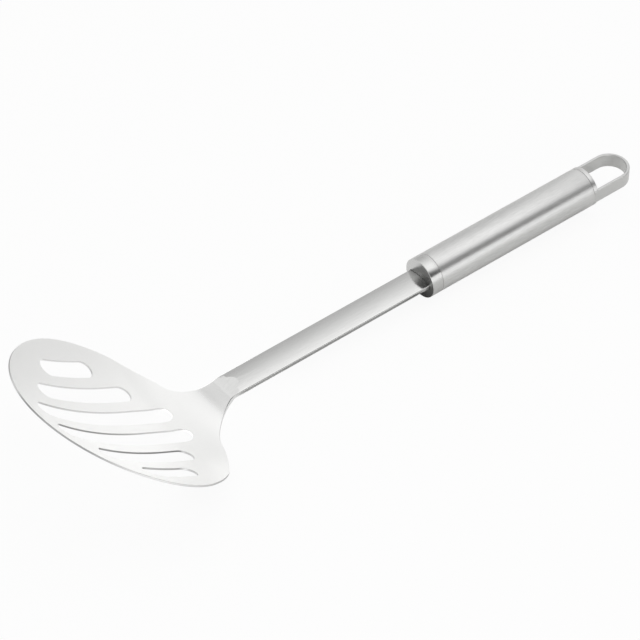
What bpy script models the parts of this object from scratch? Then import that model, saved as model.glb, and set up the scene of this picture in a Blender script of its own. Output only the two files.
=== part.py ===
# Skimmer: a wide dished head with drain slots, on a straight shank that is set in a hollow round handle.
# It is drawn along the handle's axis, X, with the face of the front cap at X = 0 and the head towards -X.
# An empty then lays it down as it rests on a table: on the heel of the head and the edge of the front cap.
import math

import bmesh
import bpy
import numpy as np

# Fits, in metres like every size below
CLEARANCE = 0.0003

# Strip that the tang, shank, neck and head are stamped from, rolled thinner for the head
SHANK_SHEET = 0.0022
HEAD_SHEET = 0.0009
THINNING_START = 0.0035
THINNING_LENGTH = 0.0100
SHANK_WIDTH = 0.0140
SHANK_LENGTH = 0.1112
SHANK_RISE = 0.0006
CROWN_RADIUS = 0.0250
CROWN_RUN_OUT = 0.0030
TANG_PAST_PLUG = 0.0020

# Side line of the blade: the neck drops, the heel turns up, the floor runs straight and the bowl turns on up
NECK_BEND_RADIUS = 0.0080
NECK_DROP = math.radians(28.4)
NECK_SLOPE_LENGTH = 0.0063
HEEL_RADIUS = 0.0272
HEEL_TURN = math.radians(58.0)
FLOOR_LENGTH = 0.0154
BOWL_RADIUS = 0.1641
DISH_RADIUS = 0.1515
DISH_RUN_IN = 0.0348

# Flat outline of the head, from the end of the straight shank
NECK_START = 0.0017
NECK_HANDLE = 0.0086
SHOULDER_START = 0.0223
SHOULDER_HALF_WIDTH = 0.0228
SHOULDER_ANGLE = math.radians(74.1)
SHOULDER_HANDLE_IN = 0.0078
SHOULDER_HANDLE_OUT = 0.0199
HEAD_CENTRE = 0.0698
HEAD_HALF_WIDTH = 0.0560
HEAD_FRONT = 0.0527
FLANK_HANDLE = 0.0185

# Drain slots, in mirrored pairs that get shorter towards the sides
SLOT_PAIRS = 3
SLOT_WIDTH = 0.0094
SLOT_PITCH = 0.0157
SLOT_LENGTH = 0.0826
SLOT_SHORTENING = 0.0254

# Handle, from the face of the front cap to the rear cap
HANDLE_RADIUS = 0.0100
FRONT_CAP_LENGTH = 0.0061
FRONT_FACE = 0.0020
FRONT_EDGE_ROUND = 0.0004
TUBE_LENGTH = 0.0938
TUBE_WALL = 0.0010
SPIGOT_LENGTH = 0.0080
SPIGOT_WALL = 0.0010
REAR_CAP_LENGTH = 0.0022
PLUG_LENGTH = 0.0080

# Hanging loop, a flat strip bent to a U
LOOP_STRIP = 0.0015
LOOP_WIDTH = 0.0075
LOOP_INSET = 0.0005
LOOP_REACH = 0.0256
LOOP_EDGE = 0.0003

# Fineness of the facets
TURN_STEPS = 48
ARC_STEPS = 8
LOOP_STEPS = 16
OUTLINE_STEPS = 10
CROWN_STEPS = 4
BEND_STEPS = 4
SLOPE_STEPS = 2
HEEL_STEPS = 9
FLOOR_STEPS = 2
BOWL_STEPS = 12
REST_STEPS = 60
SMOOTH_ANGLE = math.radians(30.0)
MERGE = 0.00001
QUARTER_ARC = 4.0 / 3.0 * (math.sqrt(2.0) - 1.0)

# Places that follow from the sizes
NECK_BEND_LENGTH = NECK_BEND_RADIUS * NECK_DROP
HEEL_LENGTH = HEEL_RADIUS * HEEL_TURN
HEAD_TIP = HEAD_CENTRE + HEAD_FRONT
BOWL_LENGTH = HEAD_TIP - NECK_BEND_LENGTH - NECK_SLOPE_LENGTH - HEEL_LENGTH - FLOOR_LENGTH
BORE_RADIUS = HANDLE_RADIUS - TUBE_WALL
SPIGOT_RADIUS = BORE_RADIUS - CLEARANCE
SPIGOT_BORE = SPIGOT_RADIUS - SPIGOT_WALL
TUBE_START = FRONT_CAP_LENGTH + CLEARANCE
TUBE_END = TUBE_START + TUBE_LENGTH
REAR_START = TUBE_END + CLEARANCE
REAR_END = REAR_START + REAR_CAP_LENGTH
PLUG_START = FRONT_CAP_LENGTH + SPIGOT_LENGTH + CLEARANCE
PLUG_END = PLUG_START + PLUG_LENGTH
TANG_LENGTH = PLUG_END + TANG_PAST_PLUG
LOOP_OUTER = HANDLE_RADIUS - LOOP_INSET
LOOP_INNER = LOOP_OUTER - LOOP_STRIP
LOOP_CENTRE = REAR_END + LOOP_REACH - LOOP_OUTER

# Stretches of the side line, each with its length, its curvature and its rows of facets
STRETCHES = (
    (SHANK_LENGTH - CROWN_RUN_OUT, 0.0, 1),
    (CROWN_RUN_OUT, 0.0, CROWN_STEPS),
    (NECK_BEND_LENGTH, -1.0 / NECK_BEND_RADIUS, BEND_STEPS),
    (NECK_SLOPE_LENGTH, 0.0, SLOPE_STEPS),
    (HEEL_LENGTH, 1.0 / HEEL_RADIUS, HEEL_STEPS),
    (FLOOR_LENGTH, 0.0, FLOOR_STEPS),
    (BOWL_LENGTH, 1.0 / BOWL_RADIUS, BOWL_STEPS),
)


def clear_scene():
    for item in list(bpy.data.objects):
        bpy.data.objects.remove(item, do_unlink=True)


def new_collection(name):
    collection = bpy.data.collections.new(name)
    bpy.context.scene.collection.children.link(collection)
    return collection


def steel(name, colour, roughness):
    material = bpy.data.materials.new(name)
    material.use_nodes = True
    shader = material.node_tree.nodes["Principled BSDF"]
    shader.inputs["Base Color"].default_value = (*colour, 1.0)
    shader.inputs["Metallic"].default_value = 1.0
    shader.inputs["Roughness"].default_value = roughness
    return material


def add_object(name, data, collection):
    item = bpy.data.objects.new(name, data)
    collection.objects.link(item)
    return item


def as_cutter(item):
    item.hide_render = True
    item.display_type = "WIRE"
    return item


def evaluated_mesh(item):
    graph = bpy.context.evaluated_depsgraph_get()
    mesh = bpy.data.meshes.new_from_object(item.evaluated_get(graph))
    solid = bmesh.new()
    solid.from_mesh(mesh)
    bmesh.ops.remove_doubles(solid, verts=solid.verts, dist=MERGE)
    bmesh.ops.recalc_face_normals(solid, faces=solid.faces)
    solid.to_mesh(mesh)
    solid.free()
    return mesh


def bake(item, material):
    # A plain mesh in the place of the object's modifiers or curve, smooth but for its sharp edges
    mesh = evaluated_mesh(item)
    name = item.name
    matrix = item.matrix_world.copy()
    collection = item.users_collection[0]
    bpy.data.objects.remove(item, do_unlink=True)
    mesh.name = name
    mesh.materials.clear()
    mesh.materials.append(material)
    mesh.shade_smooth()
    mesh.set_sharp_from_angle(angle=SMOOTH_ANGLE)
    solid = add_object(name, mesh, collection)
    solid.matrix_world = matrix
    return solid


def cut(item, cutter, operation="DIFFERENCE"):
    modifier = item.modifiers.new(cutter.name, "BOOLEAN")
    modifier.object = cutter
    modifier.operation = operation
    modifier.solver = "EXACT"


def flat_curve(name, height, collection):
    curve = bpy.data.curves.new(name, "CURVE")
    curve.dimensions = "2D"
    curve.fill_mode = "BOTH"
    curve.extrude = height / 2.0
    curve.resolution_u = OUTLINE_STEPS
    return add_object(name, curve, collection)


def poly_spline(curve, points):
    spline = curve.splines.new("POLY")
    spline.points.add(len(points) - 1)
    for point, (x, y) in zip(spline.points, points):
        point.co = (x, y, 0.0, 1.0)
    spline.use_cyclic_u = True


def bezier_spline(curve, knots):
    # Each knot is its place and the offsets of its two handles
    spline = curve.splines.new("BEZIER")
    spline.bezier_points.add(len(knots) - 1)
    for point, (place, back, ahead) in zip(spline.bezier_points, knots):
        point.handle_left_type = "FREE"
        point.handle_right_type = "FREE"
        point.co = (place[0], place[1], 0.0)
        point.handle_left = (place[0] + back[0], place[1] + back[1], 0.0)
        point.handle_right = (place[0] + ahead[0], place[1] + ahead[1], 0.0)
    spline.use_cyclic_u = True


def turned(name, profile, collection):
    # The profile is pairs of place along the axis and radius, down the outer side from the rear
    count = len(profile)
    mesh = bpy.data.meshes.new(name)
    points = [(radius, 0.0, along) for along, radius in profile]
    edges = [(i, (i + 1) % count) for i in range(count)]
    mesh.from_pydata(points, edges, [])
    item = add_object(name, mesh, collection)
    item.rotation_euler.y = math.pi / 2.0
    screw = item.modifiers.new("turn", "SCREW")
    screw.axis = "Z"
    screw.angle = math.tau
    screw.screw_offset = 0.0
    screw.steps = TURN_STEPS
    screw.render_steps = TURN_STEPS
    screw.use_merge_vertices = True
    screw.merge_threshold = MERGE
    return item


def smooth_step(value):
    value = min(max(value, 0.0), 1.0)
    return value * value * (3.0 - 2.0 * value)


def side_line(along):
    # Place and pitch of the sheet's top face, without crown or dish, at a length along it from the cap
    x, z, pitch = -min(along, 0.0), SHANK_RISE, 0.0
    left = max(along, 0.0)
    for length, curvature, _ in STRETCHES:
        run = min(left, length)
        turn = run * curvature
        if curvature:
            x -= (math.sin(pitch + turn) - math.sin(pitch)) / curvature
            z += (math.cos(pitch) - math.cos(pitch + turn)) / curvature
        else:
            x -= run * math.cos(pitch)
            z += run * math.sin(pitch)
        pitch += turn
        left -= run
    return x, z, pitch


def cross_section(along, side):
    # Rise and slope of the sheet across its width: a crowned shank that ends in a crease, then a dished head
    past_shank = along - SHANK_LENGTH
    crown = (1.0 - smooth_step(past_shank / CROWN_RUN_OUT + 1.0)) / CROWN_RADIUS
    dish = smooth_step(past_shank / DISH_RUN_IN) / DISH_RADIUS
    half = SHANK_WIDTH / 2.0
    rise = (dish * side * side + crown * (half * half - side * side)) / 2.0
    return rise, (dish - crown) * side


def thinning(along):
    # Share of the shank's thickness that is left at a length along the sheet
    past_start = along - SHANK_LENGTH - THINNING_START
    return 1.0 - (1.0 - HEAD_SHEET / SHANK_SHEET) * smooth_step(past_start / THINNING_LENGTH)


def bent(along, side, height):
    # Where a point of the flat sheet goes when it is rolled and pressed; height 0 is the top face
    x, z, pitch = side_line(along)
    rise, slope = cross_section(along, side)
    lean = math.atan(slope)
    depth = height * thinning(along)
    lift = rise + depth * math.cos(lean)
    return x + lift * math.sin(pitch), side - depth * math.sin(lean), z + lift * math.cos(pitch)


def sheet_rows():
    rows = [0.0]
    start = 0.0
    for length, _, count in STRETCHES:
        rows += [start + length * (i + 1) / count for i in range(count)]
        start += length
    return rows[1:-1]


def sheet_columns():
    crown = [SHANK_WIDTH / 6.0, SHANK_WIDTH / 3.0]
    count = math.ceil(HEAD_HALF_WIDTH / (SLOT_PITCH / 2.0))
    head = [SLOT_PITCH / 2.0 * (i + 1) for i in range(count)]
    half = crown + head
    return [-side for side in half] + [0.0] + half


def flat_slab(name, start, end, half_width, top, bottom, collection):
    # A slab of flat sheet, sliced across and along so that it can bend
    slab = bmesh.new()
    bmesh.ops.create_cube(slab, size=1.0)
    for vert in slab.verts:
        vert.co.x = start + (vert.co.x + 0.5) * (end - start)
        vert.co.y = vert.co.y * 2.0 * half_width
        vert.co.z = bottom + (vert.co.z + 0.5) * (top - bottom)
    slices = [((row, 0.0, 0.0), (1.0, 0.0, 0.0)) for row in sheet_rows() if start < row < end]
    slices += [((0.0, side, 0.0), (0.0, 1.0, 0.0)) for side in sheet_columns() if abs(side) < half_width]
    for place, normal in slices:
        everything = slab.verts[:] + slab.edges[:] + slab.faces[:]
        bmesh.ops.bisect_plane(slab, geom=everything, dist=MERGE, plane_co=place, plane_no=normal)
    mesh = bpy.data.meshes.new(name)
    slab.to_mesh(mesh)
    slab.free()
    return add_object(name, mesh, collection)


def press(mesh):
    # Bend a flat mesh; its faces are made triangles first, so that they stay flat
    sheet = bmesh.new()
    sheet.from_mesh(mesh)
    bmesh.ops.triangulate(sheet, faces=sheet.faces)
    for vert in sheet.verts:
        vert.co = bent(*vert.co)
    bmesh.ops.recalc_face_normals(sheet, faces=sheet.faces)
    sheet.to_mesh(mesh)
    sheet.free()


def blade_outline():
    # One side from the tang to the widest line, then the tip, then the same knots mirrored
    half = SHANK_WIDTH / 2.0
    lean = (math.cos(SHOULDER_ANGLE), math.sin(SHOULDER_ANGLE))
    none = (0.0, 0.0)
    side = [
        ((-TANG_LENGTH, half), none, none),
        ((SHANK_LENGTH + NECK_START, half), none, (NECK_HANDLE, 0.0)),
        (
            (SHANK_LENGTH + SHOULDER_START, SHOULDER_HALF_WIDTH),
            (-lean[0] * SHOULDER_HANDLE_IN, -lean[1] * SHOULDER_HANDLE_IN),
            (lean[0] * SHOULDER_HANDLE_OUT, lean[1] * SHOULDER_HANDLE_OUT),
        ),
        (
            (SHANK_LENGTH + HEAD_CENTRE, HEAD_HALF_WIDTH),
            (-FLANK_HANDLE, 0.0),
            (QUARTER_ARC * HEAD_FRONT, 0.0),
        ),
    ]
    reach = QUARTER_ARC * HEAD_HALF_WIDTH
    tip = ((SHANK_LENGTH + HEAD_TIP, 0.0), (0.0, reach), (0.0, -reach))
    mirrored = []
    for place, back, ahead in reversed(side):
        mirrored.append(((place[0], -place[1]), (ahead[0], -ahead[1]), (back[0], -back[1])))
    return side + [tip] + mirrored


def slot_outline(centre, side, length):
    # Two half circles joined by straight sides
    radius = SLOT_WIDTH / 2.0
    points = []
    for end in (1.0, -1.0):
        for i in range(ARC_STEPS + 1):
            angle = -math.pi / 2.0 + math.pi * i / ARC_STEPS
            x = centre + end * (length / 2.0 - radius + radius * math.cos(angle))
            points.append((x, side + end * radius * math.sin(angle)))
    return points


def make_blade(parts, cutters, material):
    pattern = flat_curve("blade_pattern", 4.0 * SHANK_SHEET, cutters)
    bezier_spline(pattern.data, blade_outline())
    for pair in range(SLOT_PAIRS):
        for mirror in (1.0, -1.0):
            side = mirror * SLOT_PITCH * (pair + 0.5)
            length = SLOT_LENGTH - SLOT_SHORTENING * pair
            poly_spline(pattern.data, slot_outline(SHANK_LENGTH + HEAD_CENTRE, side, length))
    stamp = as_cutter(bake(pattern, material))
    margin = SHANK_SHEET
    start = -TANG_LENGTH - margin
    end = SHANK_LENGTH + HEAD_TIP + margin
    half_width = HEAD_HALF_WIDTH + margin
    blank = flat_slab("skimmer_blade", start, end, half_width, 0.0, -SHANK_SHEET, parts)
    cut(blank, stamp, "INTERSECT")
    blade = bake(blank, material)
    bpy.data.objects.remove(stamp, do_unlink=True)
    press(blade.data)
    blade.data.set_sharp_from_angle(angle=SMOOTH_ANGLE)
    return blade


def make_tang_slot(cutters):
    # The shank's section grown by the clearance, through the front cap's face and the plug
    half_width = SHANK_WIDTH / 2.0 + CLEARANCE
    start = -PLUG_END - FRONT_FACE
    bottom = -SHANK_SHEET - CLEARANCE
    slot = flat_slab("tang_slot", start, FRONT_FACE, half_width, CLEARANCE, bottom, cutters)
    press(slot.data)
    return as_cutter(slot)


def make_front_cap(parts, slot, material):
    end = FRONT_CAP_LENGTH + SPIGOT_LENGTH
    rounding = []
    for i in range(ARC_STEPS // 2 + 1):
        angle = math.pi / 2.0 * i / (ARC_STEPS // 2)
        along = FRONT_EDGE_ROUND * (1.0 - math.sin(angle))
        rounding.append((along, HANDLE_RADIUS - FRONT_EDGE_ROUND * (1.0 - math.cos(angle))))
    profile = [(end, SPIGOT_RADIUS), (FRONT_CAP_LENGTH, SPIGOT_RADIUS), (FRONT_CAP_LENGTH, HANDLE_RADIUS)]
    profile += rounding
    profile += [(0.0, 0.0), (FRONT_FACE, 0.0), (FRONT_FACE, SPIGOT_BORE), (end, SPIGOT_BORE)]
    cap = turned("front_cap", profile, parts)
    cut(cap, slot)
    return bake(cap, material)


def make_tang_plug(parts, slot, material):
    profile = [(PLUG_END, 0.0), (PLUG_END, SPIGOT_RADIUS), (PLUG_START, SPIGOT_RADIUS), (PLUG_START, 0.0)]
    plug = turned("tang_plug", profile, parts)
    cut(plug, slot)
    return bake(plug, material)


def make_handle_tube(parts, material):
    profile = [
        (TUBE_END, BORE_RADIUS),
        (TUBE_END, HANDLE_RADIUS),
        (TUBE_START, HANDLE_RADIUS),
        (TUBE_START, BORE_RADIUS),
    ]
    return bake(turned("handle_tube", profile, parts), material)


def make_leg_notches(cutters):
    # Room for the loop's legs in the rim of the rear cap, as deep as the cap and open to its sides
    depth = REAR_CAP_LENGTH + 2.0 * CLEARANCE
    inner = LOOP_INNER - CLEARANCE
    width = HANDLE_RADIUS + CLEARANCE - inner
    notches = []
    for side in (1.0, -1.0):
        bpy.ops.mesh.primitive_cube_add(size=1.0)
        notch = bpy.context.object
        notch.name = "leg_notch_left" if side > 0.0 else "leg_notch_right"
        notch.scale = (depth, width, LOOP_WIDTH + 2.0 * CLEARANCE)
        notch.location = (REAR_START - CLEARANCE + depth / 2.0, side * (inner + width / 2.0), 0.0)
        for collection in list(notch.users_collection):
            collection.objects.unlink(notch)
        cutters.objects.link(notch)
        notches.append(as_cutter(notch))
    return notches


def make_rear_cap(parts, cutters, material):
    start = TUBE_END - SPIGOT_LENGTH
    profile = [
        (REAR_END, 0.0),
        (REAR_END, HANDLE_RADIUS),
        (REAR_START, HANDLE_RADIUS),
        (REAR_START, SPIGOT_RADIUS),
        (start, SPIGOT_RADIUS),
        (start, SPIGOT_BORE),
        (REAR_START, SPIGOT_BORE),
        (REAR_START, 0.0),
    ]
    cap = turned("rear_cap", profile, parts)
    for notch in make_leg_notches(cutters):
        cut(cap, notch)
    return bake(cap, material)


def loop_arc(radius):
    angles = [math.pi / 2.0 - math.pi * i / LOOP_STEPS for i in range(LOOP_STEPS + 1)]
    return [(LOOP_CENTRE + radius * math.cos(angle), radius * math.sin(angle)) for angle in angles]


def make_hanging_loop(parts, material):
    strip = flat_curve("hanging_loop", LOOP_WIDTH, parts)
    outer = [(REAR_START, LOOP_OUTER)] + loop_arc(LOOP_OUTER) + [(REAR_START, -LOOP_OUTER)]
    inner = [(REAR_START, LOOP_INNER)] + loop_arc(LOOP_INNER) + [(REAR_START, -LOOP_INNER)]
    poly_spline(strip.data, outer + inner[::-1])
    loop = bake(strip, material)
    edges = loop.modifiers.new("eased_edges", "BEVEL")
    edges.width = LOOP_EDGE
    edges.segments = 2
    edges.limit_method = "ANGLE"
    edges.angle_limit = SMOOTH_ANGLE
    return bake(loop, material)


def world_points(item):
    local = np.array([tuple(vert.co) + (1.0,) for vert in item.data.vertices])
    return (local @ np.array(item.matrix_world).T)[:, :3]


def heights(points, angle):
    # Heights after a turn about the Y axis
    return points[:, 2] * math.cos(angle) - points[:, 0] * math.sin(angle)


def rest_angle(blade, cap):
    # The turn that puts the heel of the head and the edge of the front cap on one level
    low, high = -math.pi / 4.0, math.pi / 4.0
    for _ in range(REST_STEPS):
        middle = (low + high) / 2.0
        if heights(blade, middle).min() > heights(cap, middle).min():
            high = middle
        else:
            low = middle
    return (low + high) / 2.0


def lay_down(solids, blade, cap):
    # The empty stands the part on Z = 0, with the middle of its box at X = Y = 0
    bpy.context.view_layer.update()
    points = np.concatenate([world_points(item) for item in solids])
    angle = rest_angle(world_points(blade), world_points(cap))
    across = points[:, 0] * math.cos(angle) + points[:, 2] * math.sin(angle)
    upward = heights(points, angle)
    rest = add_object("rest_pose", None, blade.users_collection[0])
    rest.rotation_euler.y = angle
    rest.location.x = -(across.min() + across.max()) / 2.0
    rest.location.y = -(points[:, 1].min() + points[:, 1].max()) / 2.0
    rest.location.z = -upward.min()
    for item in solids:
        item.parent = rest
    bpy.context.view_layer.update()


def main():
    clear_scene()
    parts = new_collection("skimmer")
    cutters = new_collection("cutters")
    satin = steel("satin_steel", (0.60, 0.60, 0.59), 0.28)
    brushed = steel("brushed_steel", (0.55, 0.55, 0.54), 0.35)
    polished = steel("polished_steel", (0.63, 0.63, 0.62), 0.15)
    bent_strip = steel("loop_steel", (0.57, 0.57, 0.56), 0.30)
    plain = steel("plain_steel", (0.45, 0.45, 0.45), 0.50)
    slot = make_tang_slot(cutters)
    blade = make_blade(parts, cutters, satin)
    front_cap = make_front_cap(parts, slot, polished)
    solids = [blade, front_cap]
    solids.append(make_tang_plug(parts, slot, plain))
    solids.append(make_handle_tube(parts, brushed))
    solids.append(make_rear_cap(parts, cutters, polished))
    solids.append(make_hanging_loop(parts, bent_strip))
    lay_down(solids, blade, front_cap)


main()
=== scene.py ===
import math

import bmesh
import bpy
import numpy as np
from mathutils import Matrix, Vector


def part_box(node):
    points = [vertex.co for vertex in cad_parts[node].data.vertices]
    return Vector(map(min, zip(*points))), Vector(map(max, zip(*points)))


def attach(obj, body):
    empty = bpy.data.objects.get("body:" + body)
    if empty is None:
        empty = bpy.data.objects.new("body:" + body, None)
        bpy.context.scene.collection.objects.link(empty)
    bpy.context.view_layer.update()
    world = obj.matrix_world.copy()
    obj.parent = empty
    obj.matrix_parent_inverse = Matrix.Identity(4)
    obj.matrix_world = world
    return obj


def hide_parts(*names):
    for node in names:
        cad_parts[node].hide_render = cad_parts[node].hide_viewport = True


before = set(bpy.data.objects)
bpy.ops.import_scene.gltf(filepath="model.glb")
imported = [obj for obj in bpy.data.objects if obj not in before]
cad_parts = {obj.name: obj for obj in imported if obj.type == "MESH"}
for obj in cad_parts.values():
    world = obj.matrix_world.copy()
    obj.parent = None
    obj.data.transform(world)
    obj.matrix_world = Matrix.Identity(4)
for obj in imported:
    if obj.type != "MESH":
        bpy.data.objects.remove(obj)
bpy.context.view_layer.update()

mm = 0.001
print("frame loaded:", ", ".join(sorted(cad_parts)))


def linear(hexColour):  # sRGB hex to linear colour
    parts = [int(hexColour[i:i + 2], 16) / 255 for i in (0, 2, 4)]
    return [c / 12.92 if c <= 0.04045 else ((c + 0.055) / 1.055) ** 2.4 for c in parts] + [1.0]


def addNode(tree, kind, settings=None, links=None):
    node = tree.nodes.new(kind)
    for key, value in (settings or {}).items():
        if isinstance(key, str) and hasattr(node, key):
            setattr(node, key, value)
        else:
            node.inputs[key].default_value = value
    for key, source in (links or {}).items():
        tree.links.new(source, node.inputs[key])
    return node


def smoothStep(t):
    t = np.clip(t, 0.0, 1.0)
    return t * t * (3.0 - 2.0 * t)


# The handle lies tilted on the table. Its axis runs through the middles of the tube and the loop.
# Lengths along it are in millimetres from the front cap's face.
handle = {
    "radius": 10.0, "frontSeam": 6.25, "rearSeam": 100.35,
    "seam": 0.10, "rearGap": 0.16, "seamEase": 0.07,
    "spigotRadius": 8.7, "spigotBore": 7.7, "spigotLength": 8.0,
    "turnSteps": 160, "easeSteps": 5,
    "lift": 0.04,  # keeps the finely rounded heel above the table
}


def boxMiddle(node):
    low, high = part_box(node)
    return (low + high) / 2


tubeMiddle = boxMiddle("handle_tube")
axis = (boxMiddle("hanging_loop") - tubeMiddle).normalized()
across = Vector((0.0, 1.0, 0.0))
upward = axis.cross(across)
frontFace = tubeMiddle - axis * (handle["frontSeam"] + handle["rearSeam"]) / 2 * mm
frontFace.z += handle["lift"] * mm
turnToRest = Matrix((axis, across, upward)).transposed()
# handle millimetres to metres
toRest = Matrix.Translation(frontFace) @ turnToRest.to_4x4() @ Matrix.Scale(mm, 4)


# steels
grinding = {"depth": 0.02, "detail": 3.0, "roughness": 0.6}  # depth of a line in mm, then the noise


def emptyMaterial(name):
    material = bpy.data.materials.new(name)
    material.use_nodes = True
    tree = material.node_tree
    tree.nodes.clear()
    return material, tree


def grindingLines(tree, lineWidth, lineLength, lengthAxis):
    # stretched noise: lines of this width and length in mm
    scale = [1.0 / (lineWidth * mm)] * 3
    for i in lengthAxis:
        scale[i] = 1.0 / (lineLength * mm)
    place = addNode(tree, "ShaderNodeTexCoord")
    stretch = addNode(tree, "ShaderNodeMapping", {"Scale": scale}, {"Vector": place.outputs["Object"]})
    lines = addNode(tree, "ShaderNodeTexNoise", {
        "Scale": 1.0, "Detail": grinding["detail"], "Roughness": grinding["roughness"]},
        {"Vector": stretch.outputs["Vector"]})
    return lines.outputs["Fac"]


def finishSteel(tree, colour, rough, lines, bump):
    relief = addNode(tree, "ShaderNodeBump", {"Strength": bump, "Distance": grinding["depth"] * mm},
                     {"Height": lines})
    shader = addNode(tree, "ShaderNodeBsdfPrincipled", {"Metallic": 1.0},
                     {"Base Color": colour, "Roughness": rough, "Normal": relief.outputs["Normal"]})
    addNode(tree, "ShaderNodeOutputMaterial", {}, {"Surface": shader.outputs["BSDF"]})


def groundSteel(name, look):
    material, tree = emptyMaterial(name)
    lines = grindingLines(tree, look["lineWidth"], look["lineLength"], look["lengthAxis"])
    colour = addNode(tree, "ShaderNodeMix", {
        "data_type": "RGBA", 6: linear(look["dark"]), 7: linear(look["light"])}, {0: lines})
    smooth, dull = look["roughness"]
    rough = addNode(tree, "ShaderNodeMapRange", {"To Min": smooth, "To Max": dull}, {"Value": lines})
    finishSteel(tree, colour.outputs[2], rough.outputs["Result"], lines, look["bump"])
    return material


# stainless tube, brushed along its length: soft bands of light run the whole handle
# (real brush lines are under 0.1 mm, drawn wider here so that they show)
brushedTubeSteel = groundSteel("brushed_stainless_tube", {
    "light": "E4E4E3", "dark": "C2C2C1", "roughness": (0.28, 0.36), "bump": 0.06,
    "lineWidth": 0.60, "lineLength": 5.0, "lengthAxis": (0,)})

# stainless front cap, turned and polished: sharper and deeper reflections than the tube
# (turning marks are finer than 0.3 mm, drawn wider here so that they show)
polishedCapSteel = groundSteel("polished_stainless_cap", {
    "light": "D0D0CF", "dark": "CACAC9", "roughness": (0.18, 0.22), "bump": 0.02,
    "lineWidth": 0.30, "lineLength": 20.0, "lengthAxis": (1, 2)})

# the same cap's flat front, faced on a lathe: duller than its polished side, so it mirrors the shank softly;
# its colour is a little darker than the polished side's, painted shade for the darker front face
facedShadedCapSteel = groundSteel("faced_stainless_cap_end_painted_shade", {
    "light": "C8C8C7", "dark": "C0C0BF", "roughness": (0.25, 0.30), "bump": 0.03,
    "lineWidth": 0.30, "lineLength": 20.0, "lengthAxis": (1, 2)})

# stainless rear cap, turned and finished a little softer: its bands of light blur into each other
softCapSteel = groundSteel("soft_polished_stainless_cap", {
    "light": "D9D9D8", "dark": "D3D3D2", "roughness": (0.30, 0.36), "bump": 0.02,
    "lineWidth": 0.30, "lineLength": 20.0, "lengthAxis": (1, 2)})

# stainless strip, rolled and bent: an even grey satin with lines along the strip
loopStripSteel = groundSteel("rolled_stainless_strip", {
    "light": "D6D6D5", "dark": "CCCCCB", "roughness": (0.26, 0.34), "bump": 0.05,
    "lineWidth": 0.40, "lineLength": 12.0, "lengthAxis": (0, 1)})

# the sheet's sheared edges, only deburred: fine lines round the slots and the rim,
# grey where they mirror the shaded table
shearedEdgeSteel = groundSteel("sheared_stainless_edge", {
    "light": "E0E0DF", "dark": "D6D6D5", "roughness": (0.30, 0.38), "bump": 0.05,
    "lineWidth": 0.40, "lineLength": 6.0, "lengthAxis": (0, 1)})

# plain sawn bar inside the handle, dull
plainPlugSteel = groundSteel("plain_sawn_steel", {
    "light": "A0A09F", "dark": "868685", "roughness": (0.45, 0.60), "bump": 0.20,
    "lineWidth": 0.60, "lineLength": 8.0, "lengthAxis": (1,)})

# stainless sheet, stamped and ground: a polished grey shank that turns into a fine satin head, nearly white
# under a broad light; its paler colour is painted light on the same steel (real grinding lines are finer,
# drawn wider here so that they show)
sheetSteel = {
    "shankLight": "DCDCDB", "shankDark": "C9C9C8", "headLight": "FBFBFA", "headDark": "F7F7F6",
    "shankRoughness": 0.12, "headRoughness": 0.50, "lineRoughness": 0.03, "bump": 0.08,
    "lineWidth": 0.50, "lineLength": 8.0,
    "satin": (113.0, 134.0), "pale": (112.0, 124.0),  # where finish and colour change, mm before the handle
}


def satinBladeSteel(look):
    material, tree = emptyMaterial("satin_stainless_sheet")
    lines = grindingLines(tree, look["lineWidth"], look["lineLength"], (0,))
    place = addNode(tree, "ShaderNodeTexCoord")
    apart = addNode(tree, "ShaderNodeSeparateXYZ", {}, {"Vector": place.outputs["Object"]})
    change = {}
    for key in ("satin", "pale"):
        start, end = ((toRest @ Vector((-length, 0, 0))).x for length in look[key])
        change[key] = addNode(tree, "ShaderNodeMapRange", {
            "interpolation_type": "SMOOTHSTEP", "From Min": start, "From Max": end},
            {"Value": apart.outputs["X"]}).outputs["Result"]
    tones = []
    for part in ("shank", "head"):
        tone = addNode(tree, "ShaderNodeMix", {
            "data_type": "RGBA", 6: linear(look[part + "Dark"]), 7: linear(look[part + "Light"])}, {0: lines})
        tones.append(tone.outputs[2])
    # the head's paler colour, mixed in here, is painted light
    colour = addNode(tree, "ShaderNodeMix", {"data_type": "RGBA"},
                     {0: change["pale"], 6: tones[0], 7: tones[1]})
    finish = addNode(tree, "ShaderNodeMapRange", {
        "To Min": look["shankRoughness"], "To Max": look["headRoughness"]}, {"Value": change["satin"]})
    rough = addNode(tree, "ShaderNodeMath", {"operation": "MULTIPLY_ADD", 1: look["lineRoughness"]},
                    {0: lines, 2: finish.outputs["Result"]})
    finishSteel(tree, colour.outputs[2], rough.outputs["Value"], lines, look["bump"])
    return material


bladeSteel = satinBladeSteel(sheetSteel)
print("steels ready")


# shared shop work: stamping, turning, cutting, putting in place
shop = {
    "weld": 0.002,  # points nearer than this become one (mm)
    "bevelSteps": 3,
    "levelFace": 0.99,  # a face this level is the top or bottom of a sheet, not its edge
    "creaseAngle": 32.0,  # turned edges steeper than this stay sharp (degrees)
    "slopeStep": 0.01,  # step that slopes are measured over (mm)
}


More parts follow.
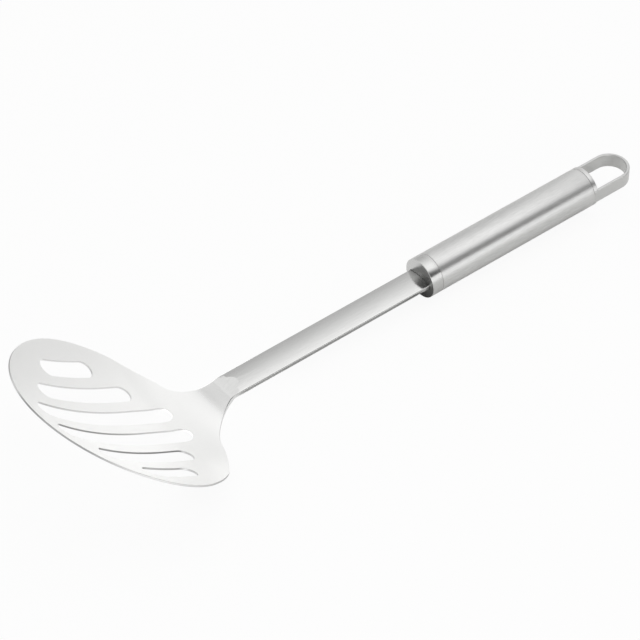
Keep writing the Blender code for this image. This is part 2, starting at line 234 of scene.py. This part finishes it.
def stampedSheet(name, outlines, thickness, edge, slices=(), edgeShare=None):
    # flat sheet with rounded edges, halfway up at z = 0, and the normal of each of its points;
    # edgeShare gives how much of the rounding is left at a length along the sheet
    curve = bpy.data.curves.new(name, "CURVE")
    curve.dimensions = "2D"
    curve.fill_mode = "BOTH"
    curve.extrude = thickness / 2 - edge
    curve.bevel_depth = edge
    curve.bevel_resolution = shop["bevelSteps"]
    curve.offset = -edge
    for outline in outlines:
        spline = curve.splines.new("POLY")
        spline.points.add(len(outline) - 1)
        for point, (x, y) in zip(spline.points, outline):
            point.co = (x, y, 0.0, 1.0)
        spline.use_cyclic_u = True
    item = bpy.data.objects.new(name, curve)
    mesh = bpy.data.meshes.new_from_object(item)
    bpy.data.objects.remove(item)
    bpy.data.curves.remove(curve)
    flat = bmesh.new()
    flat.from_mesh(mesh)
    bmesh.ops.remove_doubles(flat, verts=flat.verts, dist=shop["weld"])
    for place, normal in slices:
        everything = flat.verts[:] + flat.edges[:] + flat.faces[:]
        bmesh.ops.bisect_plane(flat, geom=everything, dist=shop["weld"], plane_co=place, plane_no=normal)
    bmesh.ops.recalc_face_normals(flat, faces=flat.faces)
    flat.normal_update()
    normals = []
    for vert in flat.verts:
        rise = (abs(vert.co.z) - (thickness / 2 - edge)) / edge
        rise = math.copysign(min(max(rise, 0.0), 1.0), vert.co.z)
        sideways = Vector((0.0, 0.0, 0.0))
        for face in vert.link_faces:
            if abs(face.normal.z) < shop["levelFace"]:
                sideways += Vector((face.normal.x, face.normal.y, 0.0)).normalized()
        if sideways.length < 1e-6:
            rise = math.copysign(1.0, vert.co.z)
        else:
            sideways.normalize()
        level = math.sqrt(max(0.0, 1.0 - rise * rise))
        normals.append(sideways * level + Vector((0.0, 0.0, rise)))
        if edgeShare:
            vert.co += sideways * edge * (1.0 - level) * (1.0 - edgeShare(vert.co.x))
    flat.to_mesh(mesh)
    flat.free()
    return mesh, np.array(normals)


def easedProfile(corners):
    # corners: place along the axis, radius, easing of that corner
    points = []
    count, steps = len(corners), handle["easeSteps"]
    for i, (x, r, ease) in enumerate(corners):
        here = Vector((x, r))
        if ease == 0.0:
            points.append(here)
            continue
        back = (Vector(corners[i - 1][:2]) - here).normalized() * ease
        ahead = (Vector(corners[(i + 1) % count][:2]) - here).normalized() * ease
        for k in range(steps + 1):
            turn = math.pi / 2 * k / steps
            points.append(here + back * (1 - math.sin(turn)) + ahead * (1 - math.cos(turn)))
    return points


def turnedPiece(name, corners):
    profile = easedProfile(corners)
    work = bmesh.new()
    verts = [work.verts.new((x, 0.0, r)) for x, r in profile]
    edges = [work.edges.new((verts[i - 1], verts[i])) for i in range(len(verts))]
    bmesh.ops.spin(work, geom=verts + edges, cent=(0, 0, 0), axis=(1, 0, 0), angle=math.tau,
                   steps=handle["turnSteps"], use_merge=True)
    bmesh.ops.remove_doubles(work, verts=work.verts, dist=shop["weld"])
    bmesh.ops.recalc_face_normals(work, faces=work.faces)
    mesh = bpy.data.meshes.new(name)
    work.to_mesh(mesh)
    work.free()
    return mesh


def cutAway(mesh, cutters):
    item = bpy.data.objects.new("blank", mesh)
    bpy.context.scene.collection.objects.link(item)
    tools = []
    for i, cutter in enumerate(cutters):
        tool = bpy.data.objects.new("cutter", cutter)
        bpy.context.scene.collection.objects.link(tool)
        tools.append(tool)
        cut = item.modifiers.new(f"cut{i}", "BOOLEAN")
        cut.operation = "DIFFERENCE"
        cut.solver = "EXACT"
        cut.object = tool
    graph = bpy.context.evaluated_depsgraph_get()
    result = bpy.data.meshes.new_from_object(item.evaluated_get(graph))
    for gone in [item] + tools:
        bpy.data.objects.remove(gone)
    clean = bmesh.new()  # the cut leaves slivers thinner than any machining
    clean.from_mesh(result)
    bmesh.ops.remove_doubles(clean, verts=clean.verts, dist=shop["weld"])
    bmesh.ops.dissolve_degenerate(clean, edges=clean.edges, dist=shop["weld"])
    clean.to_mesh(result)
    clean.free()
    return result


def putInPlace(name, mesh, materials, node, normals=None):
    mesh.transform(toRest)
    mesh.name = name
    for material in materials:
        mesh.materials.append(material)
    mesh.shade_smooth()
    if normals is None:
        mesh.set_sharp_from_angle(angle=math.radians(shop["creaseAngle"]))
    else:
        mesh.normals_split_custom_set_from_vertices((normals @ np.array(turnToRest).T).tolist())
    piece = bpy.data.objects.new(name, mesh)
    bpy.context.scene.collection.objects.link(piece)
    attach(piece, "root")
    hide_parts(node)
    print(name, len(mesh.polygons), "faces")
    return piece


# blade: one stamped and pressed sheet, lengths from the handle's front face
blade = {
    "shankSheet": 2.2, "headSheet": 0.9, "thinningStart": 3.5, "thinningLength": 10.0,
    "edge": 0.4, "tang": 24.4,
    "shankWidth": 14.0, "shankLength": 111.2, "shankRise": 0.6,
    "crownRadius": 25.0, "crownRunOut": 5.6, "crownEnd": 4.0, "crownBow": 3.2, "crownBowHalf": 4.0,
    "bendRadius": 8.0, "neckDrop": 28.4, "slopeLength": 6.3,
    "heelRadius": 27.2, "heelTurn": 58.0, "floorLength": 15.4, "bowlRadius": 164.1,
    "dishRadius": 151.5, "dishRunIn": 34.8,
    "neckStart": 1.7, "neckHandle": 8.6,
    "shoulderStart": 22.3, "shoulderHalf": 22.8, "shoulderAngle": 74.1,
    "shoulderIn": 7.8, "shoulderOut": 19.9,
    "headCentre": 69.8, "headHalf": 56.0, "headFront": 52.7, "flankHandle": 18.5,
    "slotPairs": 3, "slotWidth": 9.4, "slotPitch": 15.7, "slotLength": 82.6, "slotShortening": 25.4,
    "curveSteps": 36, "arcSteps": 20,
    "shankRows": 9.0, "bendRows": 0.5, "heelRows": 1.4, "bowlRows": 3.0,  # mm between rows of points
    "closeColumns": (1.0, 6.0, 1.0), "wideColumns": (10.0, 4.0),  # start, end and gap; start and gap
    "rimRoom": 1.0,  # rows and columns stop this far from the rim
    "edgeFace": 0.75,  # faces steeper than this are the sheared edge
}
roundHandle = 0.5523  # handle of a quarter circle's curve
headTip = blade["headCentre"] + blade["headFront"]


def strokeLengths():
    # stretches of the side line: length, turn
    drop, heel = math.radians(blade["neckDrop"]), math.radians(blade["heelTurn"])
    stretches = [(blade["shankLength"], 0.0), (blade["bendRadius"] * drop, -drop),
                 (blade["slopeLength"], 0.0), (blade["heelRadius"] * heel, heel), (blade["floorLength"], 0.0)]
    bowl = blade["shankLength"] + headTip - sum(length for length, turn in stretches)
    return stretches + [(bowl, bowl / blade["bowlRadius"])]


def sideLine(along):
    x, z = -np.minimum(along, 0.0), np.full_like(along, blade["shankRise"])
    pitch = np.zeros_like(along)
    left = np.maximum(along, 0.0)
    for length, turn in strokeLengths():
        run = np.minimum(left, length)
        if turn:
            after = pitch + run * turn / length
            x = x - (np.sin(after) - np.sin(pitch)) * length / turn
            z = z + (np.cos(pitch) - np.cos(after)) * length / turn
            pitch = after
        else:
            x = x - run * np.cos(pitch)
            z = z + run * np.sin(pitch)
        left = left - run
    return x, z, pitch


def thinning(along):
    # share of the shank's thickness that is left
    past = along - blade["shankLength"] - blade["thinningStart"]
    return 1.0 - (1.0 - blade["headSheet"] / blade["shankSheet"]) * smoothStep(past / blade["thinningLength"])


def pressed(flat):
    # crowned shank that ends in a crease, then a dished head; depth 0 is the top face
    along, side, depth = flat.T
    past = along - blade["shankLength"]
    # the crown runs out sooner in the middle
    bow = blade["crownBow"] * np.clip(1.0 - (side / blade["crownBowHalf"]) ** 2, 0.0, 1.0)
    crownLeft = np.clip((blade["crownEnd"] - past) / (blade["crownRunOut"] + bow), 0.0, 1.0)
    crown = crownLeft ** 2 / blade["crownRadius"]
    dish = smoothStep(past / blade["dishRunIn"]) / blade["dishRadius"]
    half = blade["shankWidth"] / 2
    rise = (dish * side ** 2 + crown * (half ** 2 - side ** 2)) / 2
    lean = np.arctan(dish * side)
    x, z, pitch = sideLine(along)
    lift = rise + depth * np.cos(lean)
    return np.stack([x + lift * np.sin(pitch), side - depth * np.sin(lean), z + lift * np.cos(pitch)], 1)


def pressedNormals(flat, normals):
    step = shop["slopeStep"]
    pulls = []
    for i in range(3):
        shift = np.zeros(3)
        shift[i] = step
        pulls.append((pressed(flat + shift) - pressed(flat - shift)) / (2 * step))
    turned = (normals[:, :1] * np.cross(pulls[1], pulls[2]) + normals[:, 1:2] * np.cross(pulls[2], pulls[0])
              + normals[:, 2:] * np.cross(pulls[0], pulls[1]))
    turned = -turned  # the pressing mirrors the strip's length
    return turned / np.linalg.norm(turned, axis=1, keepdims=True)


def pressSheet(mesh, normals):
    # the flat sheet is rolled thinner, then bent
    flat = np.array([tuple(vert.co) for vert in mesh.vertices]) - (0.0, 0.0, blade["shankSheet"] / 2)
    step = shop["slopeStep"]
    taper = (thinning(flat[:, 0] + step) - thinning(flat[:, 0] - step)) / (2 * step)
    normals[:, 0] -= flat[:, 2] * taper * normals[:, 2]
    flat[:, 2] *= thinning(flat[:, 0])
    shaped = pressed(flat)
    mesh.vertices.foreach_set("co", shaped.ravel())
    mesh.flip_normals()
    mesh.update()
    return pressedNormals(flat, normals)


def curvePoints(knots, steps):
    # a closed run of curves through knots, each with the offsets of its two handles
    points = []
    for i, (start, _, ahead) in enumerate(knots):
        end, back, _ = knots[(i + 1) % len(knots)]
        a, d = np.array(start), np.array(end)
        b, c = a + ahead, d + back
        straight = not (np.any(ahead) or np.any(back))
        for t in [0.0] if straight else np.arange(steps) / steps:
            points.append((1 - t) ** 3 * a + 3 * t * (1 - t) ** 2 * b + 3 * t ** 2 * (1 - t) * c + t ** 3 * d)
    return points


def bladeOutline():
    half, shank = blade["shankWidth"] / 2, blade["shankLength"]
    angle = math.radians(blade["shoulderAngle"])
    lean = np.array((math.cos(angle), math.sin(angle)))
    none = np.zeros(2)
    side = [
        ((-blade["tang"], half), none, none),
        ((shank + blade["neckStart"], half), none, np.array((blade["neckHandle"], 0.0))),
        ((shank + blade["shoulderStart"], blade["shoulderHalf"]),
         -lean * blade["shoulderIn"], lean * blade["shoulderOut"]),
        ((shank + blade["headCentre"], blade["headHalf"]), np.array((-blade["flankHandle"], 0.0)),
         np.array((roundHandle * blade["headFront"], 0.0))),
    ]
    reach = np.array((0.0, roundHandle * blade["headHalf"]))
    mirror = np.array((1.0, -1.0))
    other = [((place[0], -place[1]), ahead * mirror, back * mirror) for place, back, ahead in reversed(side)]
    return curvePoints(side + [((shank + headTip, 0.0), reach, -reach)] + other, blade["curveSteps"])


def slotOutline(side, length):
    radius, points = blade["slotWidth"] / 2, []
    middle = blade["shankLength"] + blade["headCentre"]
    for end in (1, -1):
        for i in range(blade["arcSteps"] + 1):
            angle = math.pi * (i / blade["arcSteps"] - 0.5)
            x = middle + end * (length / 2 - radius + radius * math.cos(angle))
            points.append((x, side + end * radius * math.sin(angle)))
    return points


def spaced(start, end, gap):
    return np.linspace(start, end, max(2, math.ceil((end - start) / gap) + 1))


def bladeSlices():
    # close together where the sheet bends tightly, wider apart elsewhere
    shank = blade["shankLength"]
    bendEnd = shank + blade["bendRadius"] * math.radians(blade["neckDrop"])
    heelEnd = bendEnd + blade["slopeLength"] + blade["heelRadius"] * math.radians(blade["heelTurn"])
    crease = shank + blade["crownEnd"] - blade["crownRunOut"] - blade["crownBow"]
    rows = np.concatenate([
        spaced(0.0, crease, blade["shankRows"]), spaced(crease, bendEnd, blade["bendRows"]),
        spaced(bendEnd, heelEnd, blade["heelRows"]),
        spaced(heelEnd, shank + headTip - blade["rimRoom"], blade["bowlRows"])])
    wideStart, wideGap = blade["wideColumns"]
    half = np.concatenate([spaced(*blade["closeColumns"]),
                           spaced(wideStart, blade["headHalf"] - blade["rimRoom"], wideGap)])
    columns = np.concatenate([-half, [0.0], half])
    return ([((x, 0, 0), (1, 0, 0)) for x in np.unique(rows)] + [((0, y, 0), (0, 1, 0)) for y in columns])


outlines = [bladeOutline()]
for pair in range(blade["slotPairs"]):
    for mirror in (1, -1):
        outlines.append(slotOutline(mirror * blade["slotPitch"] * (pair + 0.5),
                                    blade["slotLength"] - blade["slotShortening"] * pair))
bladeMesh, bladeNormals = stampedSheet("blade", outlines, blade["shankSheet"], blade["edge"],
                                       bladeSlices(), thinning)
for polygon in bladeMesh.polygons:
    polygon.material_index = int(abs(polygon.normal.z) < blade["edgeFace"])
bladeNormals = pressSheet(bladeMesh, bladeNormals)
putInPlace("blade", bladeMesh, [bladeSteel, shearedEdgeSteel], "skimmer_blade", bladeNormals)

# front cap: turned, with a close slot for the tang
capShape = {
    "face": 2.0, "edge": 0.2, "tangRoom": 0.20, "slotOver": 4.0, "slotColumns": (-6, 6, 13),
    "flatFront": 0.99, "frontDepth": 0.01,  # which faces are the flat front
}
halfSlot = blade["shankWidth"] / 2 + capShape["tangRoom"]
capEnd = handle["frontSeam"] + handle["spigotLength"]
capRim = handle["frontSeam"] - handle["seam"] / 2
slotIn, slotOut = -capEnd - capShape["slotOver"], capShape["slotOver"]
slotSheet = [(slotIn, -halfSlot), (slotOut, -halfSlot), (slotOut, halfSlot), (slotIn, halfSlot)]
slotColumns = [((0, y, 0), (0, 1, 0)) for y in np.linspace(*capShape["slotColumns"])]
tangSlot, slotNormals = stampedSheet("tangSlot", [slotSheet], blade["shankSheet"] + 2 * capShape["tangRoom"],
                                     blade["edge"], slotColumns)
pressSheet(tangSlot, slotNormals)
frontCap = turnedPiece("frontCap", [
    (capEnd, handle["spigotRadius"], 0.0), (capRim, handle["spigotRadius"], 0.0),
    (capRim, handle["radius"], handle["seamEase"]), (0.0, handle["radius"], capShape["edge"]),
    (0.0, 0.0, 0.0), (capShape["face"], 0.0, 0.0),
    (capShape["face"], handle["spigotBore"], 0.0), (capEnd, handle["spigotBore"], 0.0)])
frontCap = cutAway(frontCap, [tangSlot])
# the flat front takes the cap steel with painted shade
for polygon in frontCap.polygons:
    front = polygon.normal.x < -capShape["flatFront"] and polygon.center.x < capShape["frontDepth"]
    polygon.material_index = int(front)
putInPlace("frontCap", frontCap, [polishedCapSteel, facedShadedCapSteel], "front_cap")

# tube
tubeShape = {"wall": 1.0}
tubeStart = handle["frontSeam"] + handle["seam"] / 2
tubeEnd = handle["rearSeam"] - handle["rearGap"] / 2
tubeBore = handle["radius"] - tubeShape["wall"]
tube = turnedPiece("handleTube", [
    (tubeEnd, tubeBore, 0.0), (tubeEnd, handle["radius"], handle["seamEase"]),
    (tubeStart, handle["radius"], handle["seamEase"]), (tubeStart, tubeBore, 0.0)])
putInPlace("handleTube", tube, [brushedTubeSteel], "handle_tube")

# hanging loop: flat strip bent round, its legs let into the sides of the rear cap
loop = {"strip": 1.5, "width": 7.5, "edge": 0.5, "outer": 9.5, "centre": 118.8, "steps": 64, "legSteps": 7}
rearStart = handle["rearSeam"] + handle["rearGap"] / 2


def loopArc(radius):
    angles = np.linspace(math.pi / 2, -math.pi / 2, loop["steps"] + 1)
    return [(loop["centre"] + radius * math.cos(a), radius * math.sin(a)) for a in angles]


def loopSide(radius):
    legs = np.linspace(rearStart, loop["centre"], loop["legSteps"] + 1)[:-1]
    return [(x, radius) for x in legs] + loopArc(radius) + [(x, -radius) for x in legs[::-1]]


loopInner = loop["outer"] - loop["strip"]
loopOutline = loopSide(loop["outer"]) + loopSide(loopInner)[::-1]
loopMesh, loopNormals = stampedSheet("hangingLoop", [loopOutline], loop["width"], loop["edge"])
putInPlace("hangingLoop", loopMesh, [loopStripSteel], "hanging_loop", loopNormals)

# rear cap, with notches for the legs
rearShape = {"end": 102.7, "edge": 0.25, "legRoom": 0.06, "notchOver": 1.0}
notchDepth = rearShape["end"] - handle["rearSeam"] + rearShape["notchOver"]
notchFloor = loopInner - rearShape["legRoom"]
notchHeight = handle["radius"] + rearShape["notchOver"] - notchFloor
notchSize = (notchDepth, notchHeight, loop["width"] + 2 * rearShape["legRoom"])
notches = []
for leg in (1, -1):
    block = bmesh.new()
    bmesh.ops.create_cube(block, size=1.0)
    bmesh.ops.scale(block, vec=notchSize, verts=block.verts)
    notchMiddle = (handle["rearSeam"] + notchDepth / 2, leg * (notchFloor + notchHeight / 2), 0.0)
    bmesh.ops.translate(block, vec=notchMiddle, verts=block.verts)
    notch = bpy.data.meshes.new("legNotch")
    block.to_mesh(notch)
    block.free()
    notches.append(notch)
spigotStart = handle["rearSeam"] - handle["spigotLength"]
rearCap = turnedPiece("rearCap", [
    (rearShape["end"], 0.0, 0.0), (rearShape["end"], handle["radius"], rearShape["edge"]),
    (rearStart, handle["radius"], handle["seamEase"]), (rearStart, handle["spigotRadius"], 0.0),
    (spigotStart, handle["spigotRadius"], 0.0), (spigotStart, handle["spigotBore"], 0.0),
    (rearStart, handle["spigotBore"], 0.0), (rearStart, 0.0, 0.0)])
putInPlace("rearCap", cutAway(rearCap, notches), [softCapSteel], "rear_cap")

# plug inside the handle keeps its CAD shape
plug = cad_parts["tang_plug"].data
plug.materials.clear()
plug.materials.append(plainPlugSteel)
print("tang_plug keeps its solid")

# floor: a sweep of matte white paper. The camera sees it nearly white, with the object's shadow on it.
# What the steel mirrors of it is painted apart: painted light behind the shank and near the camera, and
# painted shade in front of the shank with a gap at the neck, a dark patch that only reflections see, deepest
# by the cap.
floorLook = {
    "size": 12.0, "drop": 0.05,  # width in m, mm below the table's plane
    # litWhite: how white the painted light on the paper looks in reflections
    "colour": "E6E6E5", "seenWhite": 0.92, "litWhite": 0.97,
    "paintedShadeShare": (0.50, 0.78),  # how dark the painted shade is, along the shank and by the cap
    "paintedShadowByCap": (0.028, 0.042), "paintedShadeBend": (-0.086, -0.096), "paintedShadeNear": (-0.022, -0.058),
    "paintedShadeEdge": (-0.012, 0.0), "litEdge": (-0.002, 0.0015), "litSlope": 0.139, "gapDepth": 0.022,
    "edges": {  # soft edges: axis, where a part begins, where it is full (m)
        "gapLeft": ("X", -0.097, -0.089), "gapRight": ("X", -0.061, -0.071),
        # nearLit: painted light near the camera, seen only in reflections
        "beforeHandle": ("X", 0.050, 0.042), "litFade": ("Y", 0.15, 0.06), "nearLit": ("Y", -0.035, -0.16),
    },
}


def floorPaper(look):
    material, tree = emptyMaterial("matte_white_paper")
    place = addNode(tree, "ShaderNodeTexCoord")
    apart = addNode(tree, "ShaderNodeSeparateXYZ", {}, {"Vector": place.outputs["Object"]}).outputs
    path = addNode(tree, "ShaderNodeLightPath").outputs
    parts = {}
    for name, (direction, start, end) in look["edges"].items():
        parts[name] = addNode(tree, "ShaderNodeMapRange", {
            "interpolation_type": "SMOOTHSTEP", "From Min": start, "From Max": end},
            {"Value": apart[direction]}).outputs["Result"]
    gap = addNode(tree, "ShaderNodeMath", {"operation": "MULTIPLY"},
                  {0: parts["gapLeft"], 1: parts["gapRight"]})
    noGap = addNode(tree, "ShaderNodeMath", {"operation": "SUBTRACT", 0: 1.0}, {1: gap.outputs[0]})

    # painted light behind the shank: paper that only reflections see glowing white; it comes nearer in the
    # gap
    behind = addNode(tree, "ShaderNodeMath", {"operation": "MULTIPLY_ADD", 1: -look["litSlope"]},
                     {0: apart["X"], 2: apart["Y"]})
    behindGap = addNode(tree, "ShaderNodeMath", {"operation": "MULTIPLY_ADD", 1: look["gapDepth"]},
                        {0: gap.outputs[0], 2: behind.outputs[0]})
    lit = addNode(tree, "ShaderNodeMapRange", {
        "interpolation_type": "SMOOTHSTEP", "From Min": look["litEdge"][0], "From Max": look["litEdge"][1]},
        {"Value": behindGap.outputs[0]})
    litBefore = addNode(tree, "ShaderNodeMath", {"operation": "MULTIPLY"},
                        {0: lit.outputs["Result"], 1: parts["beforeHandle"]})
    litPart = addNode(tree, "ShaderNodeMath", {"operation": "MULTIPLY"},
                      {0: litBefore.outputs[0], 1: parts["litFade"]}).outputs[0]

    # painted shade in front of it: a dark patch that only reflections see, no real card
    paintedShadeNear = addNode(tree, "ShaderNodeMapRange", {
        "From Min": look["paintedShadeBend"][0], "From Max": look["paintedShadeBend"][1],
        "To Min": look["paintedShadeNear"][0], "To Max": look["paintedShadeNear"][1]}, {"Value": apart["X"]})
    pastPaintedShade = addNode(tree, "ShaderNodeMath", {"operation": "SUBTRACT"},
                       {0: apart["Y"], 1: paintedShadeNear.outputs["Result"]})
    paintedShadeWidth = addNode(tree, "ShaderNodeMapRange", {
        "interpolation_type": "SMOOTHSTEP", "From Min": look["paintedShadeEdge"][0], "From Max": look["paintedShadeEdge"][1]},
        {"Value": pastPaintedShade.outputs[0]})
    paintedShadeShape = addNode(tree, "ShaderNodeMath", {"operation": "MULTIPLY"},
                        {0: parts["beforeHandle"], 1: paintedShadeWidth.outputs["Result"]})
    paintedShade = addNode(tree, "ShaderNodeMath", {"operation": "MULTIPLY"},
                   {0: paintedShadeShape.outputs[0], 1: noGap.outputs[0]}).outputs[0]
    noPaintedShade = addNode(tree, "ShaderNodeMath", {"operation": "SUBTRACT", 0: 1.0}, {1: paintedShade})
    # the painted shade deepens by the front cap: a painted contact shadow
    paintedShadeShare = addNode(tree, "ShaderNodeMapRange", {
        "From Min": look["paintedShadowByCap"][0], "From Max": look["paintedShadowByCap"][1],
        "To Min": look["paintedShadeShare"][0], "To Max": look["paintedShadeShare"][1]}, {"Value": apart["X"]})
    darkShare = addNode(tree, "ShaderNodeMath", {"operation": "MULTIPLY"},
                        {0: paintedShade, 1: paintedShadeShare.outputs["Result"]})

    # white for the camera and the painted light, black on the painted shade, over the matte paper
    # bright: where reflections see the paper glowing white, painted light behind the shank and near the
    # camera
    bright = addNode(tree, "ShaderNodeMath", {"operation": "MAXIMUM"}, {0: litPart, 1: parts["nearLit"]})
    mirroredShare = addNode(tree, "ShaderNodeMapRange", {"To Max": look["litWhite"]},
                            {"Value": bright.outputs[0], "To Min": darkShare.outputs[0]})
    outsidePaintedShade = addNode(tree, "ShaderNodeMath", {"operation": "MAXIMUM"}, {0: litPart, 1: noPaintedShade.outputs[0]})
    whiteness = addNode(tree, "ShaderNodeMath", {"operation": "MAXIMUM"},
                        {0: path["Is Camera Ray"], 1: outsidePaintedShade.outputs[0]})
    white = addNode(tree, "ShaderNodeEmission", {"Color": (1, 1, 1, 1)}, {"Strength": whiteness.outputs[0]})
    mirrored = addNode(tree, "ShaderNodeMath", {"operation": "MAXIMUM"},
                       {0: path["Is Glossy Ray"], 1: path["Is Transmission Ray"]})
    mirroredWhite = addNode(tree, "ShaderNodeMath", {"operation": "MULTIPLY"},
                            {0: mirrored.outputs[0], 1: mirroredShare.outputs["Result"]})
    share = addNode(tree, "ShaderNodeMath", {"operation": "MULTIPLY_ADD", 1: look["seenWhite"]},
                    {0: path["Is Camera Ray"], 2: mirroredWhite.outputs[0]})
    matte = addNode(tree, "ShaderNodeBsdfDiffuse", {"Color": linear(look["colour"])})
    paper = addNode(tree, "ShaderNodeMixShader", {},
                    {0: share.outputs[0], 1: matte.outputs["BSDF"], 2: white.outputs["Emission"]})
    addNode(tree, "ShaderNodeOutputMaterial", {}, {"Surface": paper.outputs["Shader"]})
    return material


floorMesh = bpy.data.meshes.new("floor")
reach = floorLook["size"] / 2
corners = [(-reach, -reach, 0), (reach, -reach, 0), (reach, reach, 0), (-reach, reach, 0)]
floorMesh.from_pydata(corners, [], [(0, 1, 2, 3)])
floorMesh.materials.append(floorPaper(floorLook))
floor = bpy.data.objects.new("floor", floorMesh)
floor.location.z = -floorLook["drop"] * mm
bpy.context.scene.collection.objects.link(floor)
print("floor ready")

# lamps: a soft box overhead, a low card in front, and a small glow from the table behind the neck
softLights = {  # middle, aim, width and height (m), brightness of the face, whether steel mirrors it
    "overheadBox": {"place": (0.15, -0.10, 1.05), "aim": (0.15, -0.10, 0.0), "size": (2.6, 1.10),
                    "face": 0.50, "mirrored": False},
    "lowFrontCard": {"place": (0.2, -1.30, 0.32), "aim": (0.2, 0.0, 0.32), "size": (2.8, 0.62),
                     "face": 1.20, "mirrored": True},
    "tableGlow": {"place": (-0.069, 0.036, 0.0005), "aim": (-0.069, 0.036, 1.0), "size": (0.058, 0.09),
                  "face": 1.25, "mirrored": True},
}
for name, lamp in softLights.items():
    light = bpy.data.lights.new(name, "AREA")
    light.shape = "RECTANGLE"
    light.size, light.size_y = lamp["size"]
    light.energy = lamp["face"] * math.pi * lamp["size"][0] * lamp["size"][1]
    lampPiece = bpy.data.objects.new(name, light)
    lampPiece.location = lamp["place"]
    facing = Vector(lamp["aim"]) - Vector(lamp["place"])
    lampPiece.rotation_euler = facing.to_track_quat("-Z", "Y").to_euler()
    lampPiece.visible_camera = False
    lampPiece.visible_glossy = lamp["mirrored"]
    bpy.context.scene.collection.objects.link(lampPiece)
print("lamps ready")

# room: its brightness by direction, X along the handle and Y away from the camera's side.
# A bright strip and an even part light the handle, and shaded parts on the left and near side give
# the dark places in the steel.
roomLook = {
    "evenPart": 1.1, "leftEnd": 0.90, "shadeEdge": 0.05, "seen": 1.0,
    "soft": {  # axis, start, end, value at the start and at the end
        "onStrip": ("X", 0.70, 0.50, 0.0, 1.0), "onEven": ("X", 0.36, 0.20, 0.0, 1.0),
        "pastShade": ("X", -0.58, -0.74, 0.0, 1.0), "notNear": ("Y", -0.70, -0.30, 0.0, 1.0),
        "nearPart": ("X", -0.25, 0.05, 0.90, 0.12),
    },
    "even": {
        "farRoom": ("Y", 0.1, 0.8, 0.66, 1.24), "strip": ("Y", 0.8, 0.0, 0.67, 1.45),
        "leftPart": ("Y", 0.2, 0.8, 0.03, 0.07),
        "shadeSide": ("Y", 0.26, 0.57, -0.15, -0.475), "shadeBack": ("Y", 0.57, 0.80, 0.0, 0.06),
    },
}


def lightRoom(look):
    room = bpy.data.worlds.new("studio")
    room.use_nodes = True
    tree = room.node_tree
    tree.nodes.clear()
    place = addNode(tree, "ShaderNodeTexCoord")
    apart = addNode(tree, "ShaderNodeSeparateXYZ", {}, {"Vector": place.outputs["Generated"]}).outputs
    path = addNode(tree, "ShaderNodeLightPath").outputs
    parts = {}
    for shape, group in (("SMOOTHSTEP", look["soft"]), ("LINEAR", look["even"])):
        for name, (direction, start, end, first, last) in group.items():
            parts[name] = addNode(tree, "ShaderNodeMapRange", {
                "interpolation_type": shape, "From Min": start, "From Max": end,
                "To Min": first, "To Max": last},
                {"Value": apart[direction]}).outputs["Result"]
    edge = addNode(tree, "ShaderNodeMath", {"operation": "ADD"},
                   {0: parts["shadeSide"], 1: parts["shadeBack"]})
    fromShade = addNode(tree, "ShaderNodeMath", {"operation": "SUBTRACT"},
                        {0: apart["X"], 1: edge.outputs[0]})
    notLeft = addNode(tree, "ShaderNodeMapRange", {
        "interpolation_type": "SMOOTHSTEP", "From Min": -look["shadeEdge"], "From Max": look["shadeEdge"]},
        {"Value": fromShade.outputs[0]})
    right = addNode(tree, "ShaderNodeMix", {}, {0: parts["onStrip"], 2: parts["farRoom"], 3: parts["strip"]})
    middle = addNode(tree, "ShaderNodeMix", {3: look["evenPart"]}, {0: parts["onEven"], 2: right.outputs[0]})
    far = addNode(tree, "ShaderNodeMix", {},
                  {0: notLeft.outputs["Result"], 2: parts["leftPart"], 3: middle.outputs[0]})
    whole = addNode(tree, "ShaderNodeMix", {3: look["leftEnd"]}, {0: parts["pastShade"], 2: far.outputs[0]})
    around = addNode(tree, "ShaderNodeMix", {},
                     {0: parts["notNear"], 2: parts["nearPart"], 3: whole.outputs[0]})
    backdrop = addNode(tree, "ShaderNodeMix", {3: look["seen"]},
                       {0: path["Is Camera Ray"], 2: around.outputs[0]})
    sky = addNode(tree, "ShaderNodeBackground", {"Color": (1, 1, 1, 1)}, {"Strength": backdrop.outputs[0]})
    addNode(tree, "ShaderNodeOutputWorld", {}, {"Surface": sky.outputs["Background"]})
    return room


bpy.context.scene.world = lightRoom(roomLook)
print("room ready")

# camera at the photograph's angle, in handle millimetres
view = {
    "azimuth": -37.681, "elevation": 44.941, "roll": -0.589, "distance": 1356.7,
    "aim": (-45.048, 17.962, -13.349), "lens": 163.90, "sensor": 36.0, "farthest": 50.0,
}
azimuth, elevation, roll = (math.radians(view[key]) for key in ("azimuth", "elevation", "roll"))
level = math.cos(elevation)
back = Vector((math.sin(azimuth) * level, -math.cos(azimuth) * level, math.sin(elevation)))
plainRight = Vector((math.cos(azimuth), math.sin(azimuth), 0.0))
plainTop = back.cross(plainRight)
right = plainRight * math.cos(roll) + plainTop * math.sin(roll)
top = plainTop * math.cos(roll) - plainRight * math.sin(roll)
cameraTurn = turnToRest @ Matrix((right, top, back)).transposed()
cameraPlace = toRest @ (Vector(view["aim"]) + back * view["distance"])
cameraData = bpy.data.cameras.new("camera")
cameraData.lens = view["lens"]
cameraData.sensor_width = view["sensor"]
cameraData.clip_end = view["farthest"]
camera = bpy.data.objects.new("camera", cameraData)
camera.matrix_world = Matrix.Translation(cameraPlace) @ cameraTurn.to_4x4()
bpy.context.scene.collection.objects.link(camera)
bpy.context.scene.camera = camera
bpy.context.scene.view_settings.view_transform = "Standard"
print("camera ready")

bpy.context.view_layer.update()
